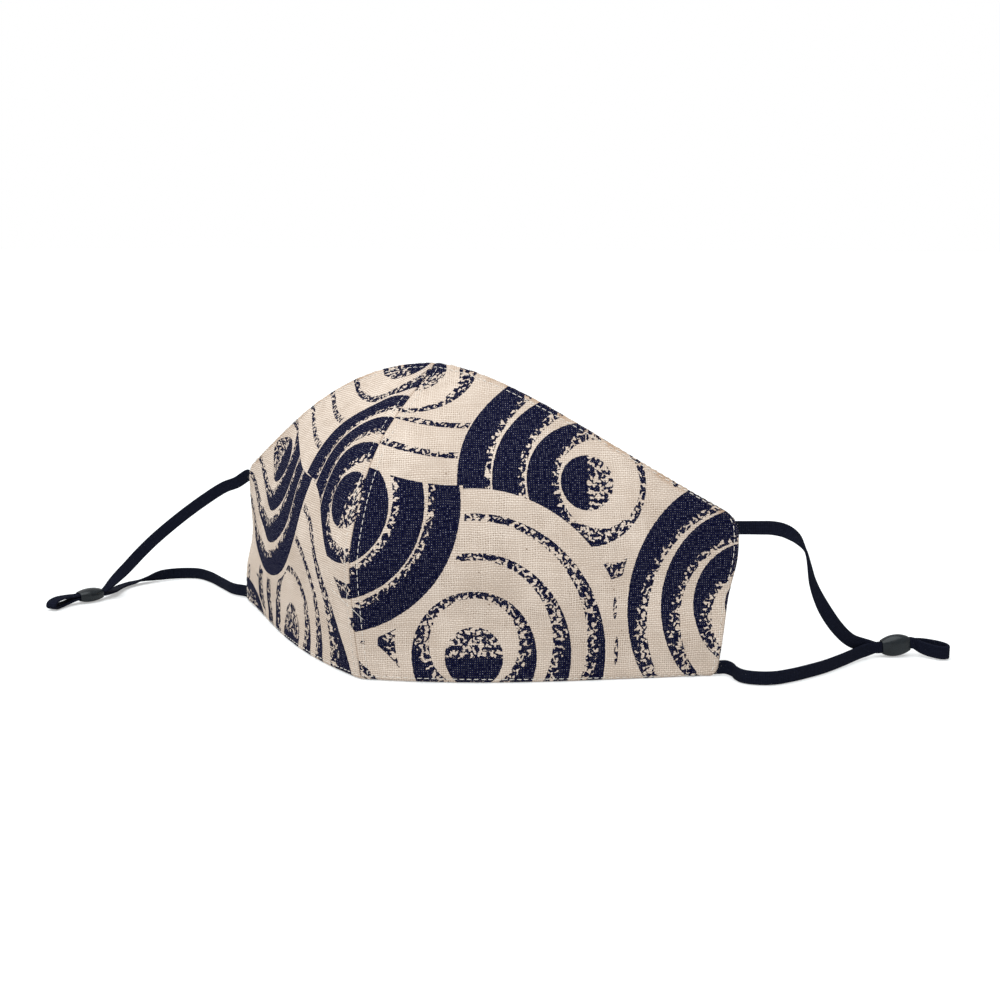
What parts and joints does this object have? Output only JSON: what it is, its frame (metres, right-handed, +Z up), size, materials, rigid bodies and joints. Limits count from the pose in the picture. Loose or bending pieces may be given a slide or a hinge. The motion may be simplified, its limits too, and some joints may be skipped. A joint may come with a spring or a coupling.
{
  "type": "cloth face mask",
  "caption": "Curved cotton face mask with a centre seam, flat elastic ear loops and a rubber adjuster bead on each loop.",
  "frame": {"origin": "on the table, under the middle of the box round the two panels", "axes": "+Z up from the table, +X from side to side towards the right ear loop in the picture, the outside of the mask faces -Y and the wearer's face +Y"},
  "size_m": [0.3466, 0.1377, 0.1083],
  "materials": {
    "printed_canvas": "plain woven cotton and linen canvas, natural beige, printed in navy",
    "elastic": "flat knitted elastic, navy black",
    "rubber_bead": "satin silicone rubber, dark grey"
  },
  "bodies": {
    "root": {"panel_right": "printed_canvas", "panel_left": "printed_canvas", "ear_loop_right": "elastic", "adjuster_bead_right": "rubber_bead", "ear_loop_left": "elastic", "adjuster_bead_left": "rubber_bead"}
  },
  "joints": []
}
